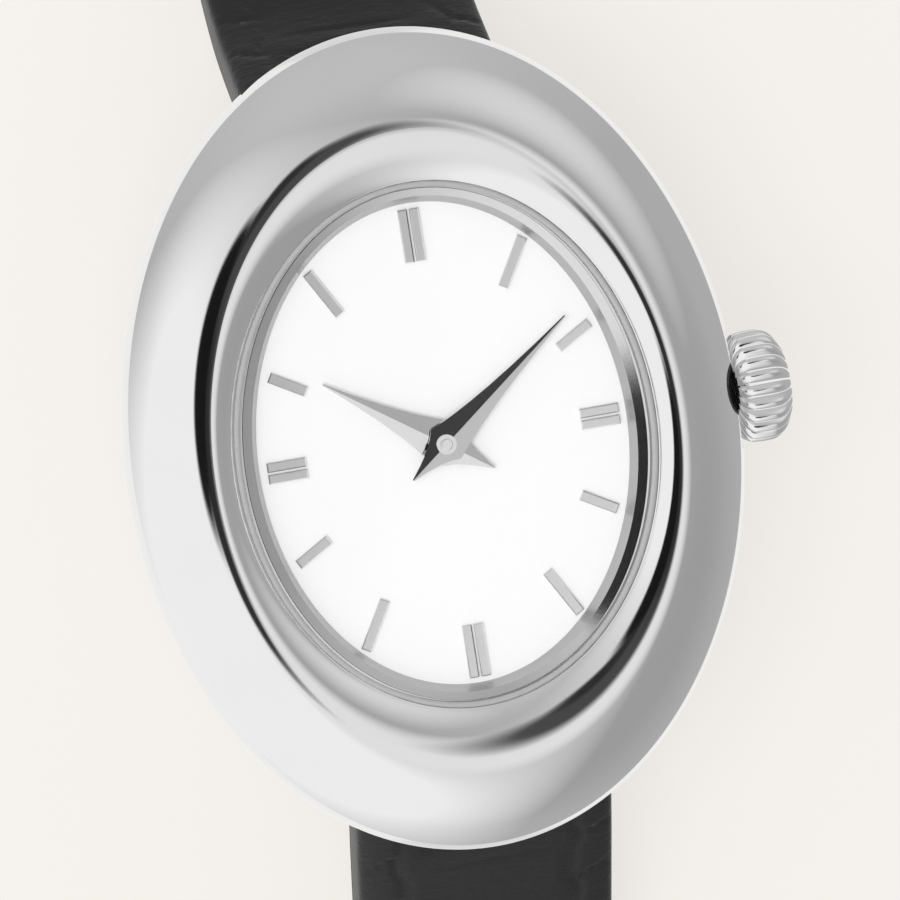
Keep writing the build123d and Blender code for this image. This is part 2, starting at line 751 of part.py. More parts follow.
# Plan outline of the short half, square at the buckle end with a slot for the tongue
with BuildSketch(Plane.XY.offset(-30)) as short_plan:
    Polygon(
        (-strap_width / 2, bar_y - 2),
        (strap_width / 2, bar_y - 2),
        (strap_width / 2, bar_y + 4),
        (tail_width / 2, short_end_y - 8),
        (tail_width / 2, short_end_y + 2),
        (-tail_width / 2, short_end_y + 2),
        (-tail_width / 2, short_end_y - 8),
        (-strap_width / 2, bar_y + 4),
        align=None,
    )
    with Locations((0, short_end_y)):
        Rectangle(tongue_width + 0.5, 5.0, mode=Mode.SUBTRACT)

# Plan outline of the long half, with a pointed tip and a row of holes
tip_y = -long_end_y
with BuildSketch(Plane.XY.offset(-30)) as long_plan:
    with BuildLine():
        Line((strap_width / 2, -bar_y + 2), (-strap_width / 2, -bar_y + 2))
        Line((-strap_width / 2, -bar_y + 2), (-strap_width / 2, -bar_y - 4))
        Line((-strap_width / 2, -bar_y - 4), (-tail_width / 2, tip_y + 8))
        ThreePointArc((-tail_width / 2, tip_y + 8), (-tail_width / 4 - 0.9, tip_y + 2.6), (0, tip_y))
        ThreePointArc((0, tip_y), (tail_width / 4 + 0.9, tip_y + 2.6), (tail_width / 2, tip_y + 8))
        Line((tail_width / 2, tip_y + 8), (strap_width / 2, -bar_y - 4))
        Line((strap_width / 2, -bar_y - 4), (strap_width / 2, -bar_y + 2))
    make_face()
    with Locations((0, tip_y + first_hole_from_tip + hole_pitch * (hole_count - 1) / 2)):
        with GridLocations(1, hole_pitch, 1, hole_count):
            Circle(hole_r, mode=Mode.SUBTRACT)

# Outer leather of the short half, wrapped round the spring bar at one end and the buckle bar at the other
with BuildPart() as short_strap_leather:
    with BuildSketch(Plane.YZ):
        with BuildLine():
            at = strap_side(
                1, short_angle, short_root_run, short_bend_r, short_length, strap_root / 2, lining_top, thinning
            )
            Line(at(0, lining_top), at(0, -strap_root / 2))
            ThreePointArc(at(0, -strap_root / 2), at(-strap_root / 2, 0), at(0, strap_root / 2))
        make_face()
        with Locations((short_end_y, buckle_bar_z)):
            Circle(strap_end / 2)
    extrude(amount=strap_width, both=True)
    extrude(short_plan.sketch, amount=60, mode=Mode.INTERSECT)
    with BuildSketch(Plane.YZ):
        with Locations((bar_y, bar_z)):
            Circle(bar_r + running_gap)
        with Locations((short_end_y, buckle_bar_z)):
            Circle(buckle_bar_r + running_gap)
    extrude(amount=strap_width, both=True, mode=Mode.SUBTRACT)

# Lining of the short half, glued under the outer leather
with BuildPart() as short_strap_lining:
    with BuildSketch(Plane.YZ):
        with BuildLine():
            at = strap_side(
                1, short_angle, short_root_run, short_bend_r, short_length - 3, lining_top, -strap_root / 2, 0
            )
            Line(at(0, -strap_root / 2), at(0, lining_top))
        make_face()
    extrude(amount=strap_width, both=True)
    extrude(short_plan.sketch, amount=60, mode=Mode.INTERSECT)
    with BuildSketch(Plane.YZ):
        with Locations((bar_y, bar_z)):
            Circle(bar_r + running_gap)
    extrude(amount=strap_width, both=True, mode=Mode.SUBTRACT)

# Outer leather of the long half
with BuildPart() as long_strap_leather:
    with BuildSketch(Plane.YZ):
        with BuildLine():
            at = strap_side(
                -1, long_angle, long_root_run, long_bend_r, long_length, strap_root / 2, lining_top, thinning
            )
            Line(at(0, lining_top), at(0, -strap_root / 2))
            ThreePointArc(at(0, -strap_root / 2), at(-strap_root / 2, 0), at(0, strap_root / 2))
        make_face()
    extrude(amount=strap_width, both=True)
    extrude(long_plan.sketch, amount=60, mode=Mode.INTERSECT)
    with BuildSketch(Plane.YZ):
        with Locations((-bar_y, bar_z)):
            Circle(bar_r + running_gap)
    extrude(amount=strap_width, both=True, mode=Mode.SUBTRACT)

# Lining of the long half
with BuildPart() as long_strap_lining:
    with BuildSketch(Plane.YZ):
        with BuildLine():
            at = strap_side(
                -1, long_angle, long_root_run, long_bend_r, long_length, lining_top, -strap_root / 2, 0
            )
            Line(at(0, -strap_root / 2), at(0, lining_top))
        make_face()
    extrude(amount=strap_width, both=True)
    extrude(long_plan.sketch, amount=60, mode=Mode.INTERSECT)
    with BuildSketch(Plane.YZ):
        with Locations((-bar_y, bar_z)):
            Circle(bar_r + running_gap)
    extrude(amount=strap_width, both=True, mode=Mode.SUBTRACT)


# Strap width and top height at a distance from the middle, on the short half's taper
def short_width_at(y):
    share = (y - bar_y - 4) / (short_end_y - 8 - bar_y - 4)
    return strap_width + (tail_width - strap_width) * min(share, 1)


def short_top_at(y):
    share = (y - short_places[1]) / (short_end_y - short_places[1])
    return flat_z + strap_root / 2 - thinning * share


# Leather loops round the short half, with room above it for the other half's tail
keepers = []
for from_end, gap, travel in ((fixed_keeper_from_end, 0.02, 0), (loose_keeper_from_end, keeper_gap, 12)):
    middle_y = short_end_y - from_end
    inner_y = middle_y - keeper_width / 2 - travel
    inner_width = short_width_at(inner_y) + 2 * gap
    inner_height = short_top_at(inner_y) + keeper_room - strap_floor_z + gap
    with BuildPart() as keeper:
        with BuildSketch(Plane.XZ.offset(-middle_y)):
            with Locations((0, strap_floor_z - gap + inner_height / 2)):
                RectangleRounded(inner_width + 2 * keeper_wall, inner_height + 2 * keeper_wall, 0.6)
                Rectangle(inner_width, inner_height, mode=Mode.SUBTRACT)
        extrude(amount=keeper_width / 2, both=True)
    keepers.append(keeper)
fixed_keeper, sliding_keeper = keepers

# Buckle frame: two arms that carry the bar and a rounded front
with BuildPart() as buckle_frame:
    outer_width = buckle_inner + 2 * buckle_arm
    with BuildSketch(Plane.XY.offset(buckle_bar_z - buckle_thickness / 2)):
        with Locations((0, short_end_y + buckle_reach / 2 - 0.5)):
            Rectangle(outer_width, buckle_reach + 1.0)
        with Locations((0, short_end_y + (buckle_reach - buckle_front) / 2 - 1)):
            Rectangle(buckle_inner, buckle_reach - buckle_front + 2, mode=Mode.SUBTRACT)
    extrude(amount=buckle_thickness)
    front_corners = buckle_frame.edges().filter_by(Axis.Z).group_by(Axis.Y)[-1]
    fillet(front_corners, radius=2.2)
    with BuildSketch(Plane.YZ):
        with Locations((short_end_y, buckle_bar_z)):
            Circle(bar_tip_r + 0.02)
    extrude(amount=outer_width, both=True, mode=Mode.SUBTRACT)

# Spring bar of the buckle
with BuildPart() as buckle_bar:
    with BuildSketch(Plane.YZ):
        with Locations((short_end_y, buckle_bar_z)):
            Circle(buckle_bar_r)
    extrude(amount=buckle_inner / 2 - 0.1, both=True)
    with BuildSketch(Plane.YZ):
        with Locations((short_end_y, buckle_bar_z)):
            Circle(bar_tip_r)
    extrude(amount=outer_width / 2 - 0.1, both=True)

# Tongue: a blade bent round the bar, resting on the frame's front
with BuildPart() as buckle_tongue:
    blade_z = buckle_bar_z + buckle_thickness / 2 + 0.02
    with BuildSketch(Plane.YZ):
        with Locations((short_end_y, buckle_bar_z)):
            Circle(tongue_ring_r)
        Polygon(
            (short_end_y, buckle_bar_z + 0.3),
            (short_end_y, buckle_bar_z + tongue_ring_r),
            (short_end_y + buckle_reach - 0.2, blade_z + 0.5),
            (short_end_y + buckle_reach - 0.2, blade_z),
            (short_end_y + 2.0, blade_z),
            align=None,
        )
        with Locations((short_end_y, buckle_bar_z)):
            Circle(buckle_bar_r + running_gap, mode=Mode.SUBTRACT)
    extrude(amount=tongue_width / 2, both=True)

pieces = {
    "case_body": case_body,
    "bezel": bezel,
    "case_back": case_back,
    "case_back_gasket": case_back_gasket,
    "crystal": crystal,
    "crystal_gasket": crystal_gasket,
    "flange_ring": flange_ring,
    "dial": dial,
    "double_hour_markers": double_hour_markers,
    "single_hour_markers": single_hour_markers,
    "minute_hand": minute_hand,
    "hour_hand": hour_hand,
    "cannon_pinion": cannon_pinion,
    "minute_wheel": minute_wheel,
    "hour_wheel": hour_wheel,
    "main_plate": main_plate,
    "train_bridge": train_bridge,
    "bridge_screws": bridge_screw_set,
    "coil": coil,
    "stator": stator,
    "circuit_board": circuit_board,
    "battery": battery,
    "battery_clamp": battery_clamp,
    "movement_ring": movement_ring,
    "sliding_pinion": sliding_pinion,
    "stem": stem,
    "setting_lever": setting_lever,
    "lever_post": lever_post,
    "crown": crown,
    "crown_tube": crown_tube,
    "crown_gasket": crown_gasket,
    "spring_bar_top": spring_bar_top,
    "spring_bar_bottom": spring_bar_bottom,
    "short_strap_leather": short_strap_leather,
    "short_strap_lining": short_strap_lining,
    "long_strap_leather": long_strap_leather,
    "long_strap_lining": long_strap_lining,
    "fixed_keeper": fixed_keeper,
    "sliding_keeper": sliding_keeper,
    "buckle_frame": buckle_frame,
    "buckle_bar": buckle_bar,
    "buckle_tongue": buckle_tongue,
}
for name, piece in pieces.items():
    piece.part.label = name
    export_step(piece.part, f"parts/{name}.step")
    print(name, round(piece.part.volume, 3), len(piece.part.solids()))
print("strap floor", strap_floor_z, "short end", short_end_y, "long end", long_end_y)
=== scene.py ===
# %% [markdown]
# # An oval wristwatch, dressed
# The solid model of the watch is already packed as a fixed frame. This lesson keeps
# every part where the frame has it and gives each one the surface and finish of the
# real thing. Where a solid is too plain, a smooth surface worked out with numpy stands
# in its place. Lengths are written in millimetres and turned into metres at the end.

# %% Load the frame
from math import cos, pi, radians, sin

import bmesh
import bpy
import numpy as np
from mathutils import Matrix, Vector


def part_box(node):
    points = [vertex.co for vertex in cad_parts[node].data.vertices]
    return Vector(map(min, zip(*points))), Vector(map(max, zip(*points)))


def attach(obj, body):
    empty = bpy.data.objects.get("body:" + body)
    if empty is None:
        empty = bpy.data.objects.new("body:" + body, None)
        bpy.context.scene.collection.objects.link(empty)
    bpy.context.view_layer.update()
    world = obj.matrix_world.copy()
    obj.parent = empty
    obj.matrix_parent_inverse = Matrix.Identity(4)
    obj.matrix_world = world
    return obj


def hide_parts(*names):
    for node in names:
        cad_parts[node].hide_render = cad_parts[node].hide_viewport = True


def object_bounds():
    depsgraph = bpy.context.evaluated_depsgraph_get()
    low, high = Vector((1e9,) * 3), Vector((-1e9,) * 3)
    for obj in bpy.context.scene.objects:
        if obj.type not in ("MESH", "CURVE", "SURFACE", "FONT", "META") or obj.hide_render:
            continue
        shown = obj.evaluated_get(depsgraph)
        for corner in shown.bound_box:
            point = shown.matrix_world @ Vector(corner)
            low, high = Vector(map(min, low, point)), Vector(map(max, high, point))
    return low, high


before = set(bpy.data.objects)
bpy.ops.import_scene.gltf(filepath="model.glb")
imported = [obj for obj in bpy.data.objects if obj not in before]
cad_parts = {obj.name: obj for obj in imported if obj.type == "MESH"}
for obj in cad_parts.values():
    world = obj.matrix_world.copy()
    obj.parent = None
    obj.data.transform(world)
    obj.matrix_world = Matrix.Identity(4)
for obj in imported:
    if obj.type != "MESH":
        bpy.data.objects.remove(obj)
cad_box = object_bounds()
mm = 0.001


def corners(node):
    """Lowest and highest corner of a part of the frame, in millimetres."""
    low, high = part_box(node)
    return np.array(low) / mm, np.array(high) / mm


spans = (np.array(cad_box[1]) - np.array(cad_box[0])) / mm
print("the watch spans", spans.round(1).tolist(), "mm")

# %% [markdown]
# ## Sheets of points
# Nearly every part of a watch is a profile carried round an oval, or a section carried
# along a line. Both are a grid of points with rows along one direction and columns along
# the other, so one helper turns such a grid into a closed mesh. It could also be done
# with Blender's own curves, but an oval stretched differently at each height is easier
# to write as a formula.

# %% From a grid of points to a mesh
def mesh_from_grid(name, grid, loop_rows=False, loop_columns=True, close_ends=True):
    """Join neighbouring points of a (rows, columns, 3) grid in mm with four-sided faces.

    Rows or columns that loop are joined last to first. Open rows are closed with a flat
    face at each end, which also closes a pole whose points all lie together.
    """
    rows, columns = grid.shape[:2]
    index = np.arange(rows * columns).reshape(rows, columns)
    if loop_rows:
        index = np.vstack([index, index[:1]])
    if loop_columns:
        index = np.hstack([index, index[:, :1]])
    quads = np.stack([index[:-1, :-1], index[:-1, 1:], index[1:, 1:], index[1:, :-1]], axis=-1).reshape(-1, 4)
    faces = quads.tolist()
    if close_ends and not loop_rows:
        faces += [index[0, :columns][::-1].tolist(), index[-1, :columns].tolist()]
    mesh = bpy.data.meshes.new(name)
    mesh.from_pydata((grid.reshape(-1, 3) * mm).tolist(), [], faces)
    return mesh


def piece_from_mesh(name, mesh, smooth_angle=35):
    """A piece whose faces point outwards, smooth except across edges sharper than the angle."""
    work = bmesh.new()
    work.from_mesh(mesh)
    bmesh.ops.remove_doubles(work, verts=work.verts, dist=0.002 * mm)
    bmesh.ops.recalc_face_normals(work, faces=work.faces)
    for edge in work.edges:
        edge.smooth = len(edge.link_faces) != 2 or edge.calc_face_angle(0) < radians(smooth_angle)
    work.to_mesh(mesh)
    work.free()
    mesh.shade_smooth()
    piece = bpy.data.objects.new(name, mesh)
    bpy.context.scene.collection.objects.link(piece)
    print(name, "has", len(mesh.polygons), "faces")
    return piece


turn = np.linspace(0, 2 * pi, 240, endpoint=False)


def oval_stack(stations, angles=turn):
    """Grid of ovals: each station (a, b, z) gives the points (a cos t, b sin t, z)."""
    a, b, z = (np.array(column)[:, None] for column in zip(*stations))
    return np.stack([a * np.cos(angles), b * np.sin(angles), z + 0 * angles], axis=-1)


def quarter(start, end, steps, vertical_first):
    """Points on a quarter of an ellipse from start to end, both (r, z)."""
    t = np.linspace(0, pi / 2, steps)
    ease_out, ease_in = np.sin(t), 1 - np.cos(t)
    along_r, along_z = (ease_in, ease_out) if vertical_first else (ease_out, ease_in)
    width, height = end[0] - start[0], end[1] - start[1]
    return [(start[0] + width * r, start[1] + height * z) for r, z in zip(along_r, along_z)]


def cut_away(piece, cutters, smooth_angle=35):
    """Take the cutters out of a piece for good, and shade it again."""
    for cutter in cutters:
        step = piece.modifiers.new("cut", "BOOLEAN")
        step.operation, step.solver, step.object = "DIFFERENCE", "EXACT", cutter
    scene_now = bpy.context.evaluated_depsgraph_get()
    mesh = bpy.data.meshes.new_from_object(piece.evaluated_get(scene_now))
    name = piece.name
    for used in [piece, *cutters]:
        bpy.data.objects.remove(used)
    return piece_from_mesh(name, mesh, smooth_angle)


def prism(name, outline, low, high, axes=(1, 2, 0)):
    """Solid between two distances, from a flat outline. axes says where outline x, y and the depth go."""
    outline = np.array(outline, float)
    grid = np.zeros((2, len(outline), 3))
    grid[:, :, axes[0]] = outline[:, 0]
    grid[:, :, axes[1]] = outline[:, 1]
    grid[0, :, axes[2]], grid[1, :, axes[2]] = low, high
    return piece_from_mesh(name, mesh_from_grid(name, grid))


def circle_points(x, y, r, count=48):
    """Points evenly round a circle about (x, y)."""
    angles = np.linspace(0, 2 * pi, count, endpoint=False)
    return np.stack([x + r * np.cos(angles), y + r * np.sin(angles)], axis=-1)


# %% [markdown]
# ## The puffed case
# On the real watch the metal round the dial is one smooth swollen oval, turned and then
# polished on a soft wheel. It is highest close to the glass, falls away outwards in a long
# slope and drops to the glass in a short one. A section of two curves carried round the
# oval gives that swelling. A subdivided cage would do too, but here each slope is exact,
# and polished metal shows every dent. Width and length swell at different rates, so each
# station of the section has its own two half-axes.

# %% Case sizes
case_low, case_high = corners("case_body")
rim_x, rim_y = 13.8, (case_high[1] - case_low[1]) / 2
widest_z = 2.1
crest_x, crest_y, crest_z = 10.4, 13.95, 5.72
throat_x, throat_y, throat_z = 9.43, 11.65, 5.3
underside_r, underside_z = 11.0, 0.55
foot_z = 3.95
bore = (8.95, 11.3)
rebate = (9.75, 12.0, 0.7)
stem_z = 2.95
strap_half = 6.1
bar_y, bar_z = 14.3, 1.15
print("case is", round(2 * rim_x, 2), "by", round(2 * rim_y, 2), "mm")


def outer_slope(steps, fullness=1.9):
    """Rings from the widest line up to the crest, on a quarter of a superellipse.

    The share left to the crest is cos t and the share of the height is sin t, both to the
    power two over the fullness, which is two for a plain ellipse.
    """
    t = np.linspace(0, pi / 2, steps)
    left, height = np.cos(t) ** (2 / fullness), np.sin(t) ** (2 / fullness)
    left[-1] = 0
    a, b = crest_x + (rim_x - crest_x) * left, crest_y + (rim_y - crest_y) * left
    return list(zip(a, b, widest_z + (crest_z - widest_z) * height))


def inner_slope(steps, steepest=69):
    """Rings from the crest down to the throat, on an arc that ends at the steepest angle."""
    t = np.radians(np.linspace(0, steepest, steps))
    inward, down = np.sin(t) / np.sin(t[-1]), (1 - np.cos(t)) / (1 - np.cos(t[-1]))
    a, b = crest_x + (throat_x - crest_x) * inward, crest_y + (throat_y - crest_y) * inward
    return list(zip(a, b, crest_z + (throat_z - crest_z) * down))


# %% Case shell
stretch = rim_y / rim_x
belly = quarter((underside_r, underside_z), (rim_x, widest_z), 20, vertical_first=False)
rings = [(r, r * stretch, z) for r, z in belly[:-1]] + outer_slope(60)
rings += [(crest_x, crest_y, foot_z), (*bore, foot_z), (*bore, rebate[2]), rebate, (*rebate[:2], underside_z)]
case_shell = piece_from_mesh("case_shell", mesh_from_grid("case_shell", oval_stack(rings), loop_rows=True))

crown_in, crown_out = corners("crown")[0][0], corners("crown")[1][0]
tube_r, crown_room = corners("crown_tube")[1][1], 2.65
# Room under each end of the case for the fold of the strap, as (distance from the middle, height)
pocket = [(12.85, -1.0), (12.85, 2.6), (15.9, 2.6), (17.9, 1.6), (17.9, -1.0)]
cutters = []
for end in (1, -1):
    cutters.append(prism("pocket", [(end * y, z) for y, z in pocket], -strap_half, strap_half))
cutters.append(prism("crown_seat", circle_points(0, stem_z, crown_room, 96), crown_in, crown_out + 1))
cutters.append(prism("tube_hole", circle_points(0, stem_z, tube_r, 32), bore[0] - 1, crown_in + 1))
case_shell = cut_away(case_shell, cutters)

# %% Lug horns
lug_r, lug_width, horn_top, horn_edge = 0.85, 1.1, bar_z + 1.4, 0.12
horns = []
for end in (1, -1):
    for side in (1, -1):
        arc = np.linspace(pi, 2 * pi, 24)
        outline = [(end * (bar_y + lug_r * cos(t)), bar_z + lug_r * sin(t)) for t in arc]
        outline += [(end * (bar_y + lug_r), horn_top), (end * (bar_y - lug_r), horn_top)]
        inner = side * strap_half
        horn = prism("lug_horn", outline, inner, inner + side * lug_width)
        bevel = horn.modifiers.new("edge", "BEVEL")
        bevel.width, bevel.segments, bevel.limit_method = horn_edge * mm, 2, "ANGLE"
        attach(horn, "case")
        horns.append(horn)
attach(case_shell, "case")
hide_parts("case_body")

# %% [markdown]
# ## The bezel
# The bezel holds the glass, and its top is the short slope from the crest down to the
# glass. It meets the case on the crest, where both are level, so the joint doesn't show.
# A tiny rounded lip at the throat catches the light round the crystal.

# %% Bezel
lip = 0.05
seat_z = 5.0
rings = inner_slope(40)
for t in np.linspace(0, pi / 2, 6)[1:]:
    rings.append((throat_x - lip * sin(t), throat_y - lip * sin(t), throat_z - lip * (1 - cos(t))))
rings += [(throat_x - lip, throat_y - lip, seat_z), (*bore, seat_z)]
rings += [(*bore, foot_z), (crest_x, crest_y, foot_z)]
collar_mesh = mesh_from_grid("bezel_collar", oval_stack(rings), loop_rows=True)
bezel_collar = piece_from_mesh("bezel_collar", collar_mesh, 50)
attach(bezel_collar, "case")
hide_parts("bezel")

# %% [markdown]
# ## Crystal and the rings under it
# The crystal is domed on both faces. Each face is an oval dome: its height falls with the
# square of the distance from the middle. A rough grey ring grips its edge. Under it the
# rehaut climbs from the dial in two facets, a satin one and a polished one that leans
# only a little and mirrors what is overhead.

# %% Crystal
glass_edge = (9.08, 11.33)
dome_z, shoulder_z, edge_z, edge_bevel = 6.1, 5.56, 5.38, 0.12
reach = np.linspace(0, 1, 30)
inner_edge = (glass_edge[0] - edge_bevel, glass_edge[1] - edge_bevel)
rings = [(inner_edge[0] * q, inner_edge[1] * q, dome_z - (dome_z - shoulder_z) * q ** 2) for q in reach]
foot_gap, under_z, under_rim, under_drop = 0.15, 5.6, 0.2, 0.45
rings += [(*glass_edge, edge_z), (*glass_edge, seat_z + foot_gap)]
for q in reach[::-1]:
    under_a, under_b = ((edge - under_rim) * q for edge in glass_edge)
    rings.append((under_a, under_b, under_z - under_drop * q ** 2))
crystal_dome = piece_from_mesh("crystal_dome", mesh_from_grid("crystal_dome", oval_stack(rings)), 20)
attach(crystal_dome, "case")
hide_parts("crystal")

# %% Crystal gasket
gap, ring_top, ring_crown = 0.01, 5.25, 0.07
ring_in = (glass_edge[0] + gap, glass_edge[1] + gap)
ring_out = (throat_x - lip - gap, throat_y - lip - gap)
rings = [(*ring_in, seat_z + gap), (*ring_out, seat_z + gap)]
for q in np.linspace(1, 0, 10):
    a, b = (ring_in[k] + (ring_out[k] - ring_in[k]) * q for k in (0, 1))
    rings.append((a, b, ring_top + ring_crown * 4 * q * (1 - q)))
gasket_grid = oval_stack(rings)
# The moulded top isn't quite even: three waves that don't share a period make it waver
waver = 0.016 * np.sin(97 * turn) * np.sin(31 * turn + 1) + 0.012 * np.sin(61 * turn + 2)
gasket_grid[3:-1, :, 2] += waver
gasket_ring = piece_from_mesh("gasket_ring", mesh_from_grid("gasket_ring", gasket_grid, loop_rows=True))
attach(gasket_ring, "case")
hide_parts("crystal_gasket")

# %% Rehaut
dial_top = 4.4
dial_edge, facet_edge, rehaut_edge = (8.24, 10.64), (8.51, 10.93), (8.93, 11.28)
facet_z, rehaut_z = 4.98, 5.06
rings = [(*dial_edge, dial_top), (*rehaut_edge, dial_top), (*rehaut_edge, rehaut_z), (*facet_edge, facet_z)]
rehaut = piece_from_mesh("rehaut", mesh_from_grid("rehaut", oval_stack(rings), loop_rows=True), 5)
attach(rehaut, "case")
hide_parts("flange_ring")

# %% [markdown]
# ## The crown
# The crown is a barrel with convex ribs that a thumb can grip, swollen in the middle and
# rounded at both ends. One function gives its radius: the barrel's profile along the axis,
# less a groove wherever the angle falls between two ribs. The ribs are arches, so each
# groove has a sharp bottom. The crown is left out of reflections: mirrored in the slope
# beside it, it would read as a second toothed ring. Real metal would show it.

# %% Crown
crown_ribs, crown_r = 22, 2.5
around = np.linspace(0, 2 * pi, crown_ribs * 18, endpoint=False)
heel_share = 0.2 * np.linspace(0, 1, 14)[:-1] ** 2
share = np.concatenate([heel_share, np.linspace(0.2, 0.8, 16)[:-1], np.linspace(0.8, 1, 14)])
x_share, angle = np.meshgrid(share, around, indexing="ij")
widest, heel_corner = 0.46, 0.22
heel_drop, corner_drop, nose_drop, groove_depth = 0.15, 0.8, 0.95, 0.4
to_heel = np.clip(1 - x_share / widest, 0, 1)
to_nose = np.clip((x_share - widest) / (1 - widest), 0, 1)
corner = np.clip(1 - x_share / heel_corner, 0, 1)
barrel = crown_r - heel_drop * to_heel ** 2 - corner_drop * (1 - np.sqrt(1 - corner ** 2))
barrel = barrel - nose_drop * to_nose ** 3.2
arch = np.abs(np.sin(angle * crown_ribs / 2)) ** 0.62
depth = groove_depth * (1 - 0.6 * to_nose ** 3)
radius = barrel - depth * (1 - arch)
crown_x = crown_in + (crown_out - crown_in) * x_share
ribbed = np.stack([crown_x, radius * np.cos(angle), stem_z + radius * np.sin(angle)], axis=-1)


def toward_axis(ring, scale):
    """The same ring drawn in towards the crown's axis."""
    return ring * np.array([1, scale, scale]) + np.array([0, 0, stem_z * (1 - scale)])


rows = [toward_axis(ribbed[:1], q) for q in (0.0, 0.4, 0.8, 0.95)] + [ribbed]
rows += [toward_axis(ribbed[-1:], q) for q in (0.9, 0.7, 0.4, 0.0)]
fluted_crown = piece_from_mesh("fluted_crown", mesh_from_grid("fluted_crown", np.concatenate(rows)), 60)
fluted_crown.visible_glossy = False
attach(fluted_crown, "crown_and_stem")
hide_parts("crown")

# %% [markdown]
# ## The leather strap
# A strap half is a flat leather tube folded round its spring bar. Its middle line leaves
# the bar downwards, bends and lies flat. At each place along that line the section is a
# rounded oblong, so the edges are soft. The upper leather is stamped with large plates
# like reptile skin: shallow grooves cross it, and two lengthwise ones set off the sides.
# Like the crown, the strap is left out of reflections: it would blacken the rim above it.

# %% Middle line of a strap half
short_slope, short_run, short_bend = 55, 5.0, 12.0
long_slope, long_bend = 35, 18.0
short_lean, long_lean = radians(short_slope), radians(long_slope)
flat_z = bar_z - short_run * sin(short_lean) - short_bend * (1 - cos(short_lean))
bar_r = corners("spring_bar_top")[1][2] - bar_z
root_half, split = 1.25, -bar_r - 0.06


def middle_line(distance, slope, run, bend, end):
    """Point, direction and upward direction on the line at each distance from the bar, in Y and Z."""
    slope = radians(slope)
    turned = np.clip((distance - run) / bend, 0, slope)
    straight = np.minimum(distance, run)
    flat = np.maximum(distance - run - bend * slope, 0)
    lean = slope - turned
    y = bar_y + straight * cos(slope) + bend * (sin(slope) - np.sin(lean)) + flat
    z = bar_z - straight * sin(slope) - bend * (np.cos(lean) - cos(slope))
    up = np.stack([np.sin(lean), np.cos(lean)], axis=-1)
    return np.stack([end * y, z], axis=-1), up * np.array([end, 1])


def plate_grooves(s, x):
    """Depth of the stamped grooves: narrow dips along a wavering grid of lines."""
    waver = 0.35 * np.sin(0.9 * s + 1.3) + 0.22 * np.sin(2.3 * s + 2.0 * x)
    waver = waver + 0.15 * np.sin(3.1 * x + 0.7 * s)
    side_x = 4.0 + 0.18 * np.sin(1.7 * s) + 0.1 * np.sin(4.1 * s + 1.0)
    on_side = np.exp(-((np.abs(x) - side_x) / 0.16) ** 2)
    middle = np.abs(x) < side_x
    pitch = np.where(middle, 6.4, 3.1)
    phase = np.mod(s + waver - np.where(middle, 4.6, 1.1) + 0.12 * x ** 2 * middle, pitch)
    across = np.exp(-(np.minimum(phase, pitch - phase) / 0.17) ** 2)
    return np.maximum(0.85 * on_side, across)


strap_wide, strap_taper, tip_length, taper_start, row_step = 5.85, 0.9, 8, bar_y + 4, 0.22


def strap_surface(name, end, slope, run, bend, length, upper, thinning, tip, groove=0.14):
    """Rounded oblong section carried along the middle line, cut flat where the two layers meet."""
    rounded_root = -root_half * np.cos(np.linspace(0, pi / 2, 14))[:-1]
    s = np.concatenate([rounded_root, np.linspace(0, length, int(length / row_step))])
    section = np.linspace(0, 2 * pi, 128, endpoint=False)
    place, up = middle_line(np.maximum(s, 0), slope, run, bend, end)
    forward = np.stack([-up[:, 1] * end, up[:, 0] * end], axis=-1) * -1
    root = np.sqrt(np.clip(1 - (np.minimum(s, 0) / root_half) ** 2, 1e-6, 1))
    place = place + forward * np.minimum(s, 0)[:, None]
    flat_start = run + bend * radians(slope)
    flat_share = np.clip((s - flat_start) / (length - flat_start), 0, 1)
    thin = thinning * flat_share
    half = (root_half - thin / 2) * root
    centre = -thin / 2
    from_middle = np.abs(place[:, 0])
    taper_share = np.clip((from_middle - taper_start) / (abs(tip) - tip_length - taper_start), 0, 1)
    wide = strap_wide - strap_taper * taper_share
    from_tip = np.clip((abs(tip) - from_middle) / tip_length, 0, 1) if end < 0 else np.ones_like(s)
    wide = wide * np.sqrt(1 - (1 - from_tip) ** 2.2 + 1e-6)
    power = 0.22
    shape_x = np.sign(np.cos(section)) * np.abs(np.cos(section)) ** power
    shape_t = np.sign(np.sin(section)) * np.abs(np.sin(section)) ** (power * 1.6)
    x = wide[:, None] * shape_x
    t = centre[:, None] + half[:, None] * shape_t
    if upper:
        top = np.clip(shape_t, 0, 1) ** 4 * np.clip((wide[:, None] - np.abs(x)) / 0.5, 0, 1)
        t = np.maximum(t, split + 0 * t) - groove * plate_grooves(s[:, None], x) * top
        t += 0.1 * (1 - (x / 6) ** 2) * top
    else:
        t = np.minimum(t, split + 0 * t)
    grid = np.stack([x, place[:, :1] + t * up[:, :1], place[:, 1:] + t * up[:, 1:]], axis=-1)
    return piece_from_mesh(name, mesh_from_grid(name, grid), 50)


# %% Both strap halves
short_end = corners("buckle_bar")[0][1] + 0.6
long_end = corners("long_strap_leather")[0][1]
long_run = (bar_z - flat_z - long_bend * (1 - cos(long_lean))) / sin(long_lean)
halves = {
    "short": dict(end=1, slope=short_slope, run=short_run, bend=short_bend, length=66.0, tip=short_end),
    "long": dict(end=-1, slope=long_slope, run=long_run, bend=long_bend, length=98.0, tip=long_end),
}
strap_pieces = {}
for side, sizes in halves.items():
    for layer, upper in (("leather", True), ("lining", False)):
        name = side + "_" + layer
        half = strap_surface(name, upper=upper, thinning=0.7 if upper else 0.0, **sizes)
        strap_pieces[name] = half

